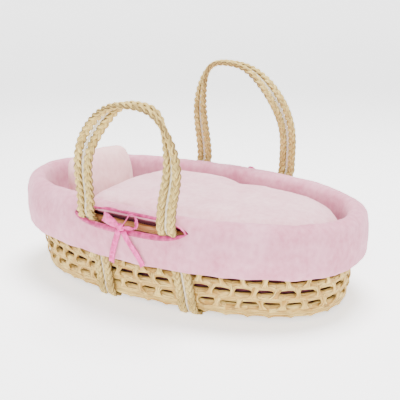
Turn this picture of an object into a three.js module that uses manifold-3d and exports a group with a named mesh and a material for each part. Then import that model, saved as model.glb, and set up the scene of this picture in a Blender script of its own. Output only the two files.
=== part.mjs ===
// A doll's moses basket: a coiled straw basket on two plaited carrying straps, with a padded
// liner, a skirt slit for the handles, ribbon bows, and loose bedding.
// Millimetres, +Z up. The head end is at -X and the near side at -Y. The origin is on the
// floor under the middle of the basket.
import * as THREE from "three";
import { mergeVertices } from "three/addons/utils/BufferGeometryUtils.js";
import Module from "manifold-3d";

const wasm = await Module();
wasm.setup();

// ---------- driving dimensions ----------
const gap = 0.3; // between pieces that touch
const ringStations = 36; // facets round each oval piece

const basket = {
  rimHalfLength: 238, // outer face of the highest coil
  rimHalfWidth: 136,
  flareLength: 10, // how much further out the rim is than the base, at an end and at a side
  flareWidth: 19,
  roundness: 2.3, // exponent of the oval: 2 is an ellipse
  headRise: 7, // how much higher the rim is at the head end than at the middle
};
const coil = { thickness: 11, firstHeight: 19.7, height: 16, rows: 6, edge: 2.5 };
const baseMatThickness = 8;
const caneRadius = 5;

const plait = { radius: 5.7, flatHalfWidth: 7, strapSides: 8, handleSides: 6 };
const tape = { radius: 1.9, sides: 4 };
const underBase = 4; // thickness of the straps where the basket stands on them

// A size named aboveRim or belowRim is measured from the top of the highest coil.
const hingeLine = { rollClearance: 9, aboveRim: 32, clearance: 3.4 }; // where a handle bends
const handles = {
  near: { side: -1, centre: 4, halfSpan: 58.5, rise: 128, bulge: 0.13, lean: 16, inward: 9 },
  far: { side: 1, centre: 10, halfSpan: 71.5, rise: 153, bulge: 0.08, lean: -22, inward: 14 },
};
const handleSquareness = 2.75; // exponent of the arch
const handleSteps = 24;
const strapFloor = { head: { near: -50, far: -56 }, foot: { near: 77, far: 80 } };
// A strap's way down: it sways in over the rim, lies on the wall, then turns under the base.
const strapRoute = {
  leadSteps: 6,
  swayPower: 1.3,
  wallHeights: [56, 22],
  heel: { height: 14, flat: 0.1 },
  corner: { out: 4, height: 5.2, flat: 0.5 },
  edge: { out: -1.5, flat: 1 },
};

const liner = { thickness: 4, fit: 0.6, aboveRim: 17 };
const roll = { endCentre: -3.75, endHalf: 9.75, sideCentre: -1.6, sideHalf: 11.9 };
const rollHeight = { aboveRim: 24.3, half: 6.7 };
const skirt = { aboveRim: 23, belowRim: 35, strapClearance: 2.8 };
// Each slot spans its handle's feet with some room past them, and may sit off their middle.
const slots = {
  near: { shift: -1.5, room: 9.6 },
  far: { shift: 0, room: 16.1 },
};
const slot = { aboveRim: 15.5, halfHeight: 9.5, exponent: 4, steps: 28 };
const binding = { width: 4.5, thickness: 1.3, recess: 2.6, proud: 0.6 };

const bow = {
  x: 0,
  aboveRim: 12,
  skirtClearance: 3.5,
  knot: [4.5, 3, 4.5],
  loop: { length: 11, height: 7, thickness: 1.2, width: 5, back: 2 },
  headTilt: 12, // degrees that each loop leans up
  footTilt: 25,
  ribbon: { width: 7.5, thickness: 0.8 },
};

const bedding = { clearance: 7, quiltClearance: 10, pillowToQuilt: 42, quiltToFold: 68 };
const mattress = { thickness: 58, edge: 4 };
const quilt = { thickness: 37, crown: 15, headRound: 16, underIn: 12, underUp: 10 };
const pillow = { halfHeight: 45, halfThickness: 23, lean: 10, squareness: 2.8 };
const pillowPlace = { fromHeadRim: 88, sideClearance: 8.5 };

// ---------- colours and surfaces ----------
const surface = (color, roughness) => new THREE.MeshStandardMaterial({ color, roughness, metalness: 0 });
const straw = surface(0xd2b57c, 0.8);
const plaited = surface(0xddd2a4, 0.75);
const cottonTape = surface(0xe8e0d0, 0.9);
const caneSkin = surface(0xb88048, 0.5);
const plush = surface(0xe6d3d9, 0.95);
const lining = surface(0xdbc0c6, 0.95);
const satin = surface(0xe070b0, 0.35);
const ticking = surface(0xf0ece6, 0.9);
const pillowPlush = surface(0xf0dddc, 0.95);

const part = new THREE.Group();
const degree = THREE.MathUtils.degToRad(1);
const { lerp, clamp } = THREE.MathUtils;

// ---------- derived places ----------
const floorOfBasket = underBase + gap;
const rimOfBasket = floorOfBasket + coil.firstHeight + (coil.rows - 1) * coil.height;
const rollOut = roll.sideCentre + roll.sideHalf;
const hingeSide = basket.rimHalfWidth + rollOut + plait.radius + hingeLine.rollClearance;
const hingeHeight = rimOfBasket + hingeLine.aboveRim;
const slotMiddle = rimOfBasket + slot.aboveRim;
const strapRoom = gap + 2 * plait.radius + skirt.strapClearance; // between the wall and the skirt

// ---------- shared geometry ----------
// Joins equal rings of points into one closed body: a loop of sections, or a stack with two caps.
function loft(rings, isLoop = false) {
  const count = rings[0].length;
  const points = rings.flat();
  const faces = [];
  const bands = isLoop ? rings.length : rings.length - 1;
  for (let i = 0; i < bands; i++) {
    const here = i * count;
    const next = ((i + 1) % rings.length) * count;
    for (let j = 0; j < count; j++) {
      const k = (j + 1) % count;
      faces.push([here + j, here + k, next + j], [here + k, next + k, next + j]);
    }
  }
  if (!isLoop) {
    const last = points.length - count;
    const headHub = points.push(middleOf(rings[0])) - 1;
    const tailHub = points.push(middleOf(rings.at(-1))) - 1;
    for (let j = 0; j < count; j++) {
      const k = (j + 1) % count;
      faces.push([k, j, headHub], [last + j, last + k, tailHub]);
    }
  }
  return facingOut(points, faces);
}

function middleOf(ring) {
  return ring.reduce((sum, point) => sum.add(point), new THREE.Vector3()).divideScalar(ring.length);
}

// A geometry of these faces, turned round if together they hold a negative volume.
function facingOut(points, faces) {
  let volume = 0;
  for (const [a, b, c] of faces) volume += points[a].dot(points[b].clone().cross(points[c]));
  const geometry = new THREE.BufferGeometry().setFromPoints(points);
  geometry.setIndex(faces.flatMap(([a, b, c]) => (volume > 0 ? [a, b, c] : [a, c, b])));
  return geometry;
}

function signedPower(value, power) {
  return Math.sign(value) * Math.abs(value) ** power;
}

// A point of a squared-off oval, turning from +X to +Y.
function ovalPoint(angle, halfLength, halfWidth, exponent) {
  return [
    halfLength * signedPower(Math.cos(angle), 2 / exponent),
    halfWidth * signedPower(Math.sin(angle), 2 / exponent),
  ];
}

// The half sizes of the basket's outer face at a height, moved out by the two offsets.
function wallAt(height, endOffset = 0, sideOffset = endOffset) {
  const below = clamp((rimOfBasket - height) / (rimOfBasket - floorOfBasket), 0, 1);
  return {
    halfLength: basket.rimHalfLength - below * basket.flareLength + endOffset,
    halfWidth: basket.rimHalfWidth - below * basket.flareWidth + sideOffset,
  };
}

function rimAt(height, endOffset, sideOffset) {
  return wallAt(rimOfBasket, endOffset, sideOffset);
}

// How far the outer face is from the long axis, at a place along it.
function wallSide(x, height) {
  const { halfLength, halfWidth } = wallAt(height);
  return ovalSide(x, halfLength, halfWidth);
}

// A ring round the basket. Its profile lists [end offset, side offset, height], with the offsets
// measured from the wall at each height, or from another outline.
function ovalRing(profile, outlineAt = wallAt) {
  const rings = [];
  for (let i = 0; i < ringStations; i++) {
    const angle = (2 * Math.PI * i) / ringStations;
    rings.push(profile.map(([end, side, height]) => {
      const { halfLength, halfWidth } = outlineAt(height, end, side);
      return new THREE.Vector3(...ovalPoint(angle, halfLength, halfWidth, basket.roundness), height);
    }));
  }
  return loft(rings, true);
}

// A stack of level outlines, from the first height to the last. Its profile lists [offset, height].
function ovalStack(profile) {
  return loft(profile.map(([offset, height]) => {
    const { halfLength, halfWidth } = wallAt(height, offset);
    return Array.from({ length: ringStations }, (_, i) => {
      const angle = (2 * Math.PI * i) / ringStations;
      return new THREE.Vector3(...ovalPoint(angle, halfLength, halfWidth, basket.roundness), height);
    });
  }));
}

function toSolid(geometry) {
  const bare = new THREE.BufferGeometry();
  bare.setAttribute("position", geometry.getAttribute("position"));
  bare.setIndex(geometry.getIndex());
  const merged = mergeVertices(bare, 1e-4);
  const vertProperties = new Float32Array(merged.attributes.position.array);
  const triVerts = new Uint32Array(merged.index.array);
  return new wasm.Manifold(new wasm.Mesh({ numProp: 3, vertProperties, triVerts }));
}

function toGeometry(solid) {
  const { vertProperties, triVerts } = solid.getMesh();
  const geometry = new THREE.BufferGeometry();
  geometry.setAttribute("position", new THREE.BufferAttribute(vertProperties, 3));
  geometry.setIndex(new THREE.BufferAttribute(triVerts, 1));
  return geometry;
}

function extrudedBetween(outline, axisFrom, axisTo) {
  return loft([axisFrom, axisTo].map((y) => outline.map(([x, z]) => new THREE.Vector3(x, y, z))));
}

// The rim stands higher towards the head, so every height grows by a small share of its own.
function withHeadRise(geometry) {
  const slope = basket.headRise / (basket.rimHalfLength * rimOfBasket);
  const position = geometry.getAttribute("position");
  for (let i = 0; i < position.count; i++) {
    position.setZ(i, position.getZ(i) * (1 - slope * position.getX(i)));
  }
  return geometry;
}

function add(name, geometry, material) {
  const mesh = new THREE.Mesh(withHeadRise(geometry), material);
  mesh.geometry.computeVertexNormals();
  mesh.name = name;
  part.add(mesh);
}

// ---------- the woven basket ----------
function coilRow(bottom, top) {
  const inner = -coil.thickness;
  return ovalRing([
    [-coil.edge, -coil.edge, bottom],
    [0, 0, bottom + coil.edge],
    [0, 0, top - coil.edge],
    [-coil.edge, -coil.edge, top],
    [inner, inner, top],
    [inner, inner, bottom],
  ]);
}

const insideWall = -coil.thickness - gap;
const matTop = floorOfBasket + baseMatThickness;
add("base_mat", ovalStack([[insideWall, floorOfBasket], [insideWall, matTop]]), straw);

for (let row = 0; row < coil.rows; row++) {
  const top = floorOfBasket + coil.firstHeight + row * coil.height;
  const bottom = row === 0 ? floorOfBasket : top - coil.height + gap;
  add(`wall_row_${row + 1}`, coilRow(bottom, top), straw);
}

function rimCane() {
  const middle = -coil.thickness / 2;
  const height = rimOfBasket + gap + caneRadius;
  const profile = [];
  const sides = 6;
  for (let i = 0; i < sides; i++) {
    const angle = (2 * Math.PI * i) / sides;
    const offset = middle + caneRadius * Math.cos(angle);
    profile.push([offset, offset, height + caneRadius * Math.sin(angle)]);
  }
  return ovalRing(profile);
}
add("rim_cane", rimCane(), caneSkin);

// ---------- the carrying straps, from one rim under the base to the other ----------
// Half of one strand's run, from just below the hinge line to the floor. Each station has its
// centre and how flat it is pressed: 0 is round, 1 is fully flat. Place is -1 or 1 for the two
// plaits and 0 for the tape between them.
function strandHalf(side, xTop, xFloor, place) {
  const { leadSteps, swayPower, wallHeights, heel, corner, edge } = strapRoute;
  const strandX = (height, flat) => lerp(xFloor, xTop, height / hingeHeight) + strandOffset(place, flat);
  // Each strand lies on the wall where the wall stands out furthest under the strand's own width.
  const onWall = (height, flat) => {
    const x = Math.max(Math.abs(strandX(height, flat)) - plait.flatHalfWidth, 0);
    return wallSide(x, height) + gap + lerp(plait.radius, underBase / 2, flat);
  };
  const stations = [];
  const leadTop = hingeHeight - plait.radius - hingeLine.clearance;
  for (let i = 0; i < leadSteps; i++) {
    const height = lerp(leadTop, rimOfBasket, i / leadSteps);
    const share = (height - rimOfBasket) / (hingeHeight - rimOfBasket);
    const sway = (1 - Math.cos(Math.PI * share ** swayPower)) / 2;
    stations.push([lerp(onWall(rimOfBasket, 0), hingeSide, sway), height, 0]);
  }
  for (const height of [rimOfBasket, ...wallHeights]) stations.push([onWall(height, 0), height, 0]);
  const wallFoot = onWall(floorOfBasket, 1) - gap - underBase / 2;
  stations.push([onWall(heel.height, 0) + gap, heel.height, heel.flat]);
  stations.push([wallFoot + corner.out, corner.height, corner.flat]);
  stations.push([wallFoot + edge.out, underBase / 2, edge.flat]);
  return stations.map(([out, height, flat]) => ({
    centre: new THREE.Vector3(strandX(height, flat), side * out, height),
    flat,
  }));
}

function strandOffset(place, flat) {
  return place * (tape.radius + 2 * gap + lerp(plait.radius, plait.flatHalfWidth, flat));
}

function strandRun(end, place) {
  const sign = end === "head" ? -1 : 1;
  const footOf = (handle) => handle.centre + sign * handle.halfSpan;
  const near = strandHalf(-1, footOf(handles.near), strapFloor[end].near, place);
  const far = strandHalf(1, footOf(handles.far), strapFloor[end].far, place);
  return [...near, ...far.reverse()];
}

function strapStrand(end, place) {
  const run = strandRun(end, place);
  const sides = place === 0 ? tape.sides : plait.strapSides;
  const facet = 1 / Math.cos(Math.PI / sides);
  const across = new THREE.Vector3(1, 0, 0);
  const rings = run.map(({ centre, flat }, i) => {
    const before = run[Math.max(i - 1, 0)].centre;
    const after = run[Math.min(i + 1, run.length - 1)].centre;
    const along = after.clone().sub(before).setX(0);
    if (i === 0) along.set(0, 0, -1); // both ends are cut level
    if (i === run.length - 1) along.set(0, 0, 1);
    if (flat === 1) along.set(0, 1, 0);
    const outward = new THREE.Vector3().crossVectors(along, across).normalize();
    const halfThickness = lerp(plait.radius, underBase / 2, flat);
    const halfWidth = place === 0 ? tape.radius : lerp(plait.radius, plait.flatHalfWidth, flat);
    const depth = place === 0 ? Math.min(tape.radius, halfThickness - gap) : halfThickness;
    return Array.from({ length: sides }, (_, j) => {
      const angle = ((j + 0.5) * 2 * Math.PI) / sides;
      return centre.clone()
        .addScaledVector(across, halfWidth * facet * Math.cos(angle))
        .addScaledVector(outward, depth * facet * Math.sin(angle));
    });
  });
  return loft(rings);
}

for (const end of ["head", "foot"]) {
  const outerPlace = end === "head" ? -1 : 1;
  add(`${end}_strap_plait_outer`, strapStrand(end, outerPlace), plaited);
  add(`${end}_strap_plait_inner`, strapStrand(end, -outerPlace), plaited);
  add(`${end}_strap_tape`, strapStrand(end, 0), cottonTape);
}

// ---------- the handles, which swing where the straps pass over the rim ----------
// The line between a handle's two plaits, from its foot at the head end (0) to the other (1).
function handleMiddle(handle, share) {
  const { side, centre, halfSpan, rise, bulge, lean, inward } = handle;
  const [across, up] = ovalPoint(Math.PI * (1 - share), halfSpan, 1, handleSquareness);
  const widening = 1 + bulge * Math.sin(Math.PI * Math.min(up, 1)) ** 2;
  return new THREE.Vector3(
    centre + across * widening + lean * up ** 2,
    side * (hingeSide - inward * up ** 2),
    hingeHeight + gap + rise * up,
  );
}

// A ring round one strand. The pair lies flat against the rim at each foot and makes a quarter
// turn towards the crown, so that it is flat in the hand. A ring may drop below its foot.
function handleRing(handle, place, share, radius, drop = 0) {
  const step = 1e-3;
  const behind = handleMiddle(handle, Math.max(share - step, 0));
  const along = handleMiddle(handle, Math.min(share + step, 1)).sub(behind).normalize();
  const turn = (Math.PI / 2) * Math.sin(Math.PI * share) ** 2;
  const across = new THREE.Vector3(-along.z, 0, along.x).setLength(Math.cos(turn));
  across.y = handle.side * Math.sin(turn);
  const outward = new THREE.Vector3().crossVectors(along, across).normalize();
  const centre = handleMiddle(handle, share).addScaledVector(across, strandOffset(place, 0));
  centre.z -= drop;
  const sides = place === 0 ? tape.sides : plait.handleSides;
  return Array.from({ length: sides }, (_, j) => {
    const angle = ((j + 0.5) * 2 * Math.PI) / sides;
    return centre.clone()
      .addScaledVector(across, radius * Math.cos(angle))
      .addScaledVector(outward, radius * Math.sin(angle));
  });
}

// The feet are rounded about the hinge line, so that they turn clear of the straps below.
function handleStrand(handle, place) {
  const radius = place === 0 ? tape.radius : plait.radius;
  const footTurns = [60 * degree, 30 * degree];
  const footRing = (share, turn) => {
    return handleRing(handle, place, share, radius * Math.cos(turn), radius * Math.sin(turn));
  };
  const rings = footTurns.map((turn) => footRing(0, turn));
  for (let i = 0; i <= handleSteps; i++) rings.push(handleRing(handle, place, i / handleSteps, radius));
  for (const turn of footTurns.toReversed()) rings.push(footRing(1, turn));
  return loft(rings);
}

for (const [name, handle] of Object.entries(handles)) {
  add(`${name}_handle_plait_outer`, handleStrand(handle, 1), plaited);
  add(`${name}_handle_plait_inner`, handleStrand(handle, -1), plaited);
  add(`${name}_handle_tape`, handleStrand(handle, 0), cottonTape);
}

// ---------- the liner: a tub inside, a padded roll over the rim and a skirt outside ----------
const tubOuter = insideWall - liner.fit;
const tubInner = tubOuter - liner.thickness;
const tubFloor = matTop + gap;
const bedFloor = tubFloor + liner.thickness;
const tubTop = rimOfBasket + liner.aboveRim;

add("liner_floor", ovalStack([[tubOuter, tubFloor], [tubOuter, bedFloor]]), lining);
add("liner_wall", ovalRing([
  [tubOuter, tubOuter, bedFloor + gap],
  [tubOuter, tubOuter, rimOfBasket],
  [tubOuter, tubOuter, tubTop],
  [tubInner, tubInner, tubTop],
  [tubInner, tubInner, rimOfBasket],
  [tubInner, tubInner, bedFloor + gap],
]), lining);

function rimRoll() {
  const sides = 8;
  const profile = [];
  for (let i = 0; i < sides; i++) {
    const angle = (2 * Math.PI * i) / sides;
    profile.push([
      roll.endCentre + roll.endHalf * Math.cos(angle),
      roll.sideCentre + roll.sideHalf * Math.cos(angle),
      rimOfBasket + rollHeight.aboveRim + rollHeight.half * Math.sin(angle),
    ]);
  }
  return ovalRing(profile);
}
add("rim_roll", rimRoll(), plush);

// The skirt hangs clear of the straps, so it stands out further at the sides than at the ends.
// It is widest a little below the rim.
const skirtWidest = strapRoom + 7;
const skirtTop = rimOfBasket + skirt.aboveRim;
const skirtHem = rimOfBasket - skirt.belowRim;
const skirtProfile = [
  [6.8, strapRoom - 3.5, skirtTop],
  [7.5, strapRoom, rimOfBasket + 6],
  [7.5, strapRoom, rimOfBasket - 6],
  [6, strapRoom - 4, skirtHem],
  [10.5, strapRoom + 2, skirtHem],
  [12, strapRoom + 5, skirtHem + 13],
  [12, skirtWidest, rimOfBasket - 7],
  [12, strapRoom + 6.5, rimOfBasket + 6],
  [11, strapRoom + 1, skirtTop],
];

// The squared-off outline of a slot, grown by a margin.
function slotOutline(name, margin) {
  const { shift, room } = slots[name];
  const centre = handles[name].centre + shift;
  const halfLength = handles[name].halfSpan + strandOffset(1, 0) + plait.radius + room;
  return Array.from({ length: slot.steps }, (_, i) => {
    const angle = (2 * Math.PI * i) / slot.steps;
    const [x, z] = ovalPoint(angle, halfLength + margin, slot.halfHeight + margin, slot.exponent);
    return [centre + x, slotMiddle + z];
  });
}

// How far an oval of these half sizes is from the long axis, at a place along it.
function ovalSide(x, halfLength, halfWidth) {
  const n = basket.roundness;
  return halfWidth * (1 - Math.abs(x / halfLength) ** n) ** (1 / n);
}

// The skirt's outer face over a slot, measured from the long axis.
function skirtSide(x, height) {
  const [, low, lowHeight] = skirtProfile.at(-2);
  const [end, high, highHeight] = skirtProfile.at(-1);
  const share = clamp((height - lowHeight) / (highHeight - lowHeight), 0, 1);
  return ovalSide(x, basket.rimHalfLength + end, basket.rimHalfWidth + lerp(low, high, share));
}

function rollSide(x) {
  const halfLength = basket.rimHalfLength + roll.endCentre + roll.endHalf;
  return ovalSide(x, halfLength, basket.rimHalfWidth + rollOut);
}

function skirtWithSlots() {
  let solid = toSolid(ovalRing(skirtProfile, rimAt));
  for (const [name, { side }] of Object.entries(handles)) {
    const outline = slotOutline(name, binding.width + gap);
    const from = side * (basket.rimHalfWidth - coil.thickness);
    const to = side * (hingeSide + strapRoom);
    solid = solid.subtract(toSolid(extrudedBetween(outline, from, to)));
  }
  return toGeometry(solid);
}
add("liner_skirt", skirtWithSlots(), plush);

// The satin binding sewn round a slot: it wraps the skirt's edge below, and lies thin against
// the padded roll above, behind the handles.
function slotBinding(name) {
  const inner = slotOutline(name, 0);
  const outer = slotOutline(name, binding.width);
  const rings = inner.map(([x, z], i) => {
    const [outerX, outerZ] = outer[i];
    const raised = clamp((z - slotMiddle) / slot.halfHeight, 0, 1);
    const face = lerp(skirtSide(x, z) + binding.proud, rollSide(x) + 2 * gap + binding.thickness, raised);
    const back = lerp(skirtSide(x, z) - binding.recess, rollSide(x) + 2 * gap, raised);
    const at = (px, pz, out) => new THREE.Vector3(px, handles[name].side * out, pz);
    return [at(x, z, back), at(x, z, face), at(outerX, outerZ, face), at(outerX, outerZ, back)];
  });
  return loft(rings, true);
}

for (const name of Object.keys(slots)) add(`${name}_slot_binding`, slotBinding(name), satin);

// ---------- the bows ----------
const bowHeight = rimOfBasket + bow.aboveRim;
const bowSide = basket.rimHalfWidth + skirtWidest + bow.skirtClearance;

// Centre lines of the hanging ribbon ends: along the basket, out from its long axis, and up.
const shortTail = [
  [-3.5, 161, 111.6], [-4.4, 161.2, 108.6], [-5.4, 161.2, 105.6], [-6.5, 161.1, 102.6],
  [-7.6, 161, 99.6], [-8.8, 160.8, 96.7], [-10, 160.6, 93.7], [-11.1, 160.3, 90.8],
  [-12.2, 160, 87.8], [-13.3, 159.6, 84.8], [-14.4, 159.2, 81.9], [-15.4, 158.8, 78.9],
  [-16.3, 158.3, 75.9], [-17.1, 157.8, 72.8], [-17.8, 157.3, 69.7], [-18.3, 156.9, 66.8],
];
const longTail = [
  [4, 161, 111.8], [5.4, 161.3, 109], [7, 161.4, 106.2], [8.7, 161.4, 103.5],
  [10.5, 161.3, 100.8], [12.3, 161.1, 98.1], [14.2, 160.8, 95.4], [16.1, 160.5, 92.8],
  [18, 160.2, 90.2], [19.8, 159.9, 87.5], [21.6, 159.5, 84.8], [23.3, 159.1, 82.1],
  [24.9, 158.7, 79.3], [26.3, 158.2, 76.4], [27.5, 157.8, 73.4], [28.5, 157.4, 70.4],
];

function ribbonTail(points, side) {
  const route = points.map(([x, out, z]) => new THREE.Vector3(x, side * out, z));
  const extrudePath = new THREE.CatmullRomCurve3(route);
  const { width, thickness } = bow.ribbon;
  const sides = 8;
  const section = Array.from({ length: sides }, (_, j) => {
    const angle = ((j + 0.5) * 2 * Math.PI) / sides;
    return new THREE.Vector2((thickness / 2) * Math.cos(angle), (width / 2) * Math.sin(angle));
  });
  const sweep = { steps: 12, extrudePath, bevelEnabled: false };
  return new THREE.ExtrudeGeometry(new THREE.Shape(section), sweep);
}

// A ribbon loop seen open from the front, leaning out from the knot by an angle.
function ribbonLoop(side, sign, tilt) {
  const { length, height, thickness, width, back } = bow.loop;
  const rings = [];
  const steps = 16;
  for (let i = 0; i < steps; i++) {
    const angle = (2 * Math.PI * i) / steps;
    const at = (grow, out) => {
      const along = bow.knot[0] + gap + thickness + length + (length + grow) * Math.cos(angle);
      const up = (height + grow) * Math.sin(angle);
      const turned = new THREE.Vector2(along, up).rotateAround(new THREE.Vector2(), tilt);
      return new THREE.Vector3(bow.x + sign * turned.x, side * out, bowHeight + turned.y);
    };
    const near = bowSide - back;
    rings.push([at(0, near), at(thickness, near), at(thickness, near + width), at(0, near + width)]);
  }
  return loft(rings, true);
}

for (const [name, { side }] of Object.entries(handles)) {
  const knot = new THREE.SphereGeometry(1, 10, 6).scale(...bow.knot);
  add(`${name}_bow_knot`, knot.translate(bow.x, side * bowSide, bowHeight), satin);
  add(`${name}_bow_loop_head`, ribbonLoop(side, -1, bow.headTilt * degree), satin);
  add(`${name}_bow_loop_foot`, ribbonLoop(side, 1, bow.footTilt * degree), satin);
  add(`${name}_bow_tail_head`, ribbonTail(shortTail, side), satin);
  add(`${name}_bow_tail_foot`, ribbonTail(longTail, side), satin);
}

// ---------- the bedding ----------
const bedOffset = tubInner - bedding.clearance;
const mattressBottom = bedFloor + gap;
const mattressTop = mattressBottom + mattress.thickness;

add("mattress", ovalStack([
  [bedOffset - mattress.edge, mattressBottom],
  [bedOffset, mattressBottom + mattress.edge],
  [bedOffset, mattressTop - mattress.edge],
  [bedOffset - mattress.edge, mattressTop],
]), ticking);

const pillowX = -basket.rimHalfLength + pillowPlace.fromHeadRim;
const quiltHead = pillowX + bedding.pillowToQuilt;
const foldLine = quiltHead + bedding.quiltToFold;
const quiltBottom = mattressTop + gap;
const quiltShoulder = quiltBottom + quilt.thickness;
const quiltTop = quiltShoulder + quilt.crown;
const quiltOffset = tubInner - bedding.quiltClearance;

// The whole quilt: rounded in below, and crowned in a curve above its shoulder.
function quiltBlank() {
  const crownCurve = [[0, 0], [8, 0.5], [26, 0.85], [60, 1]]; // how far in, and how far up the crown
  return toSolid(ovalStack([
    [quiltOffset - quilt.underIn, quiltBottom],
    [quiltOffset, quiltBottom + quilt.underUp],
    ...crownCurve.map(([inset, share]) => [quiltOffset - inset, quiltShoulder + share * quilt.crown]),
  ]));
}

// The part of the quilt between two places along the basket, with its head edge rounded off.
function quiltPiece(from, to, round) {
  const reach = basket.rimHalfWidth;
  const [under, over] = [quiltBottom - 1, quiltTop + 1];
  const topRound = 0.8 * round;
  const outline = [
    [from + round, under], [to, under], [to, over],
    [from + topRound, over], [from, quiltTop - topRound], [from, quiltBottom + round],
  ];
  return toGeometry(quiltBlank().intersect(toSolid(extrudedBetween(outline, reach, -reach))));
}
add("quilt", quiltPiece(foldLine + gap / 2, basket.rimHalfLength, 0), plush);
add("quilt_flap", quiltPiece(quiltHead, foldLine - gap / 2, quilt.headRound), plush);

// The pillow stands on the mattress on one long edge, leaning to the head end.
function pillowBody() {
  const { halfHeight, halfThickness, squareness } = pillow;
  const tub = wallAt(mattressTop, tubInner);
  const tubSide = ovalSide(pillowX - halfThickness, tub.halfLength, tub.halfWidth);
  const halfWidth = tubSide - pillowPlace.sideClearance;
  const levels = [[-1, 0.6], [-0.7, 0.88], [0, 1], [0.7, 0.88], [1, 0.6]];
  const sides = 20;
  const rings = levels.map(([depth, scale]) => Array.from({ length: sides }, (_, i) => {
    const angle = (2 * Math.PI * i) / sides;
    const [y, z] = ovalPoint(angle, halfWidth * scale, halfHeight * scale, squareness);
    return new THREE.Vector3(depth * halfThickness, y, z);
  }));
  const geometry = loft(rings).rotateY(-pillow.lean * degree);
  geometry.computeBoundingBox();
  return geometry.translate(pillowX, 0, mattressTop + gap - geometry.boundingBox.min.z);
}
add("pillow", pillowBody(), pillowPlush);

export default part;
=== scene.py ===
"""A doll's moses basket, put together as it is made: the woven basket, its plaited straps and
handles, the plush liner with its bound slots and ribbon bows, then the loose bedding.
Metres, +Z up. The head end is at -X and the near side at -Y."""
import random
from math import cos, pi, radians, sin

import bmesh
import bpy
import numpy as np
from mathutils import Matrix, Vector, noise


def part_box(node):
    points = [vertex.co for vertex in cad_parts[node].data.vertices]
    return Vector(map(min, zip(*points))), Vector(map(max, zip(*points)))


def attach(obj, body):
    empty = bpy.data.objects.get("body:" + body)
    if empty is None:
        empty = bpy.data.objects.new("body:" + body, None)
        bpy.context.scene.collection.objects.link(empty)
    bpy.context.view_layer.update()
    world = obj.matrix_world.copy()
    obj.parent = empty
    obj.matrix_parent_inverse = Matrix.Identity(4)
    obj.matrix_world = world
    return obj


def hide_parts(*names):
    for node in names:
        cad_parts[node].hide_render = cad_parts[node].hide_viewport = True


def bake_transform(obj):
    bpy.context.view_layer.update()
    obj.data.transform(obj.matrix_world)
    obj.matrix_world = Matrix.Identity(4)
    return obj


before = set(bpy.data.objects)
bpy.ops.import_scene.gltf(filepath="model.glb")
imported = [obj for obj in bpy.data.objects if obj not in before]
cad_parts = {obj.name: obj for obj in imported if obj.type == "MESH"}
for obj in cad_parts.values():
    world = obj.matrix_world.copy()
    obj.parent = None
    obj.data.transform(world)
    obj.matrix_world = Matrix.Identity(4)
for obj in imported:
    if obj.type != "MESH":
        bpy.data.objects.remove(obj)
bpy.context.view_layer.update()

mm = 0.001

# ---------- camera ----------
# A long lens from the foot end of the near side, a little above the rim, so that the near slot,
# the bow and the bedding all show.
azimuth = radians(29.55)
elevation = radians(15.38)
distance = 1.005
aim_right, aim_up = 0.01625, 0.1077
back = Vector((sin(azimuth) * cos(elevation), -cos(azimuth) * cos(elevation), sin(elevation)))
right = Vector((cos(azimuth), sin(azimuth), 0))
up = back.cross(right)
camera = bpy.data.objects.new("camera", bpy.data.cameras.new("camera"))
camera.data.lens = 62.7
turn = Matrix((right, up, back)).transposed().to_4x4()
camera.matrix_world = Matrix.Translation(right * aim_right + up * aim_up + back * distance) @ turn
bpy.context.scene.collection.objects.link(camera)
bpy.context.scene.camera = camera


# ---------- floor and studio light ----------
# White paper curved up all round, lit from below as well, under two softboxes: one overhead, one in front.
def linear(hex_colour):
    channels = [int(hex_colour[i:i + 2], 16) / 255 for i in (1, 3, 5)]
    return [c / 12.92 if c <= 0.04045 else ((c + 0.055) / 1.055) ** 2.4 for c in channels] + [1]


def wire(node, inputs):
    for name, value in inputs.items():
        if isinstance(value, bpy.types.NodeSocket):
            node.id_data.links.new(value, node.inputs[name])
        else:
            node.inputs[name].default_value = value


def add_node(tree, kind, inputs, **settings):
    """Adds a node with its settings; each input is a value, or another node's output to link."""
    node = tree.nodes.new(kind)
    for name, value in settings.items():
        setattr(node, name, value)
    wire(node, inputs)
    return node


def new_material(name):
    material = bpy.data.materials.new(name)
    material.use_nodes = True
    tree = material.node_tree
    return material, tree, tree.nodes["Principled BSDF"]


def new_piece(name, points, faces, material, strand=None):
    """A smooth mesh object. `strand` gives each point its place along and across its fibres."""
    mesh = bpy.data.meshes.new(name)
    mesh.from_pydata([tuple(point) for point in points], [], faces)
    if strand is not None:
        grain = mesh.attributes.new("strand", "FLOAT_VECTOR", "POINT")
        grain.data.foreach_set("vector", np.asarray(strand, dtype=np.float32).ravel())
    shape = bmesh.new()
    shape.from_mesh(mesh)
    bmesh.ops.remove_doubles(shape, verts=shape.verts, dist=1e-7)
    bmesh.ops.recalc_face_normals(shape, faces=shape.faces)
    shape.to_mesh(mesh)
    shape.free()
    mesh.shade_smooth()
    mesh.materials.append(material)
    piece = bpy.data.objects.new(name, mesh)
    bpy.context.scene.collection.objects.link(piece)
    return piece


paper, _, paper_shader = new_material("matt_white_paper")
wire(paper_shader, {
    "Base Color": linear("#FFFFFF"), "Roughness": 0.9, "Specular IOR Level": 0.2,
    "Emission Color": linear("#FFFFFF"), "Emission Strength": 1.3,
})
sweep = [(3.0, 0), (3.6, 0.12), (3.9, 0.42), (4.0, 0.9), (4.0, 1.6)]  # how far out, and up
sweep_sides = 64
spokes = [Vector((cos(a), sin(a), 0)) for a in np.linspace(0, 2 * pi, sweep_sides, endpoint=False)]
points = [spoke * out + Vector((0, 0, high)) for out, high in sweep for spoke in spokes]
faces = [tuple(range(sweep_sides))]
for ring in range(len(sweep) - 1):
    for i in range(sweep_sides):
        here, beside = ring * sweep_sides + i, ring * sweep_sides + (i + 1) % sweep_sides
        faces.append((here, beside, beside + sweep_sides, here + sweep_sides))
floor = new_piece("paper_floor", points, faces, paper)

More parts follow.
